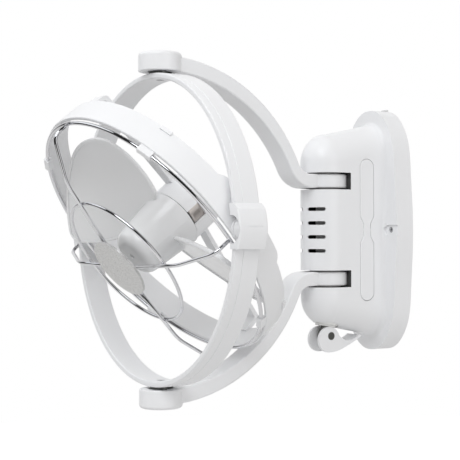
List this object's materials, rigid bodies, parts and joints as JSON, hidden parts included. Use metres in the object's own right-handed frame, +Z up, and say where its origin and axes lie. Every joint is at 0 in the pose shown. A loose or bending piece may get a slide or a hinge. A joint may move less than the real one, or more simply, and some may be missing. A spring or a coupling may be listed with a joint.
{
  "type": "gimbal wall fan",
  "caption": "White cabin fan whose head tilts in a hoop that turns in a C-shaped arm, the arm hinged in the nose of a tall wall base with a cam lever under it.",
  "frame": {"origin": "centre of the base's back face, on the wall", "axes": "+Y into the wall, the fan stands out towards -Y, +Z up"},
  "size_m": [0.2546, 0.3108, 0.2734],
  "materials": {
    "white_plastic": "satin",
    "button_plastic": "satin",
    "plate_plastic": "matte",
    "blade_plastic": "gloss",
    "bearing_plastic": "matte",
    "wire_chrome": "polished",
    "badge_silver": "gloss",
    "steel": "satin",
    "screw_steel": "satin",
    "motor_steel": "satin",
    "grommet_rubber": "matte",
    "board_laminate": "matte",
    "switch_plastic": "matte"
  },
  "bodies": {
    "base": {"wall_plate": "plate_plastic", "base_casing": "white_plastic", "cable_grommet": "grommet_rubber", "circuit_board": "board_laminate", "push_switches": "switch_plastic", "case_screws": "screw_steel", "saddle_plate": "bearing_plastic", "wear_washer": "bearing_plastic", "knuckle_washers": "bearing_plastic"},
    "clamp": {"clamp_rod": "steel", "clamp_nut": "steel", "lever_pin": "steel"},
    "lever": {"cam_lever": "white_plastic"},
    "button": {"button_strip": "button_plastic"},
    "arm": {"yoke_upper": "white_plastic", "yoke_lower": "white_plastic", "arm_spine": "plate_plastic", "yoke_cap_upper": "white_plastic", "yoke_cap_lower": "white_plastic", "gimbal_bush_upper": "bearing_plastic", "gimbal_bush_lower": "bearing_plastic"},
    "hoop": {"hoop_front_shell": "white_plastic", "hoop_rear_shell": "white_plastic", "gimbal_stud_upper": "steel", "gimbal_stud_lower": "steel", "gimbal_clips": "steel", "gimbal_screws": "screw_steel", "side_block_near": "white_plastic", "side_block_far": "white_plastic", "tilt_stud_near": "steel", "tilt_stud_far": "steel", "tilt_clips": "steel"},
    "head": {"shroud_ring": "white_plastic", "motor_spider": "white_plastic", "tilt_bushes": "bearing_plastic", "guard_clips": "white_plastic", "guard_ring": "wire_chrome", "guard_inner_ring": "wire_chrome", "guard_spokes": "wire_chrome", "guard_badge": "badge_silver", "motor_can": "motor_steel", "motor_bearings": "steel", "motor_cover": "white_plastic"},
    "rotor": {"impeller": "blade_plastic", "motor_shaft": "steel"}
  },
  "joints": [
    {"name": "arm_swing", "type": "hinge", "parent": "base", "child": "arm", "pos_m": [0, -0.0648, 0], "axis": [0, 0, 1], "range_deg": [-90, 90]},
    {"name": "hoop_turn", "type": "hinge", "parent": "arm", "child": "hoop", "pos_m": [0, -0.22101, 0], "axis": [0, 0, 1], "range_deg": [-170, 170]},
    {"name": "fan_tilt", "type": "hinge", "parent": "hoop", "child": "head", "pos_m": [0, -0.22101, 0], "axis": [0.9994, 0.0349, 0], "range_deg": [-170, 170]},
    {"name": "blade_spin", "type": "hinge", "parent": "head", "child": "rotor", "pos_m": [0, -0.22101, 0], "axis": [0.0272, -0.7789, -0.6266], "continuous": true},
    {"name": "button_rock", "type": "hinge", "parent": "base", "child": "button", "pos_m": [0.0194, -0.0368, 0], "axis": [0, 1, 0], "range_deg": [-1, 1], "stiffness_Nm_per_rad": 3},
    {"name": "rod_draw", "type": "slide", "parent": "base", "child": "clamp", "axis": [0, 0, -1], "range_m": [0, 0.00479]},
    {"name": "lever_turn", "type": "hinge", "parent": "clamp", "child": "lever", "pos_m": [0, -0.0648, -0.08801], "axis": [-1, 0, 0], "range_deg": [0, 90]}
  ],
  "couplings": [
    {"joint": "lever_turn", "follows": "rod_draw", "rad_per_m": 327.8}
  ]
}
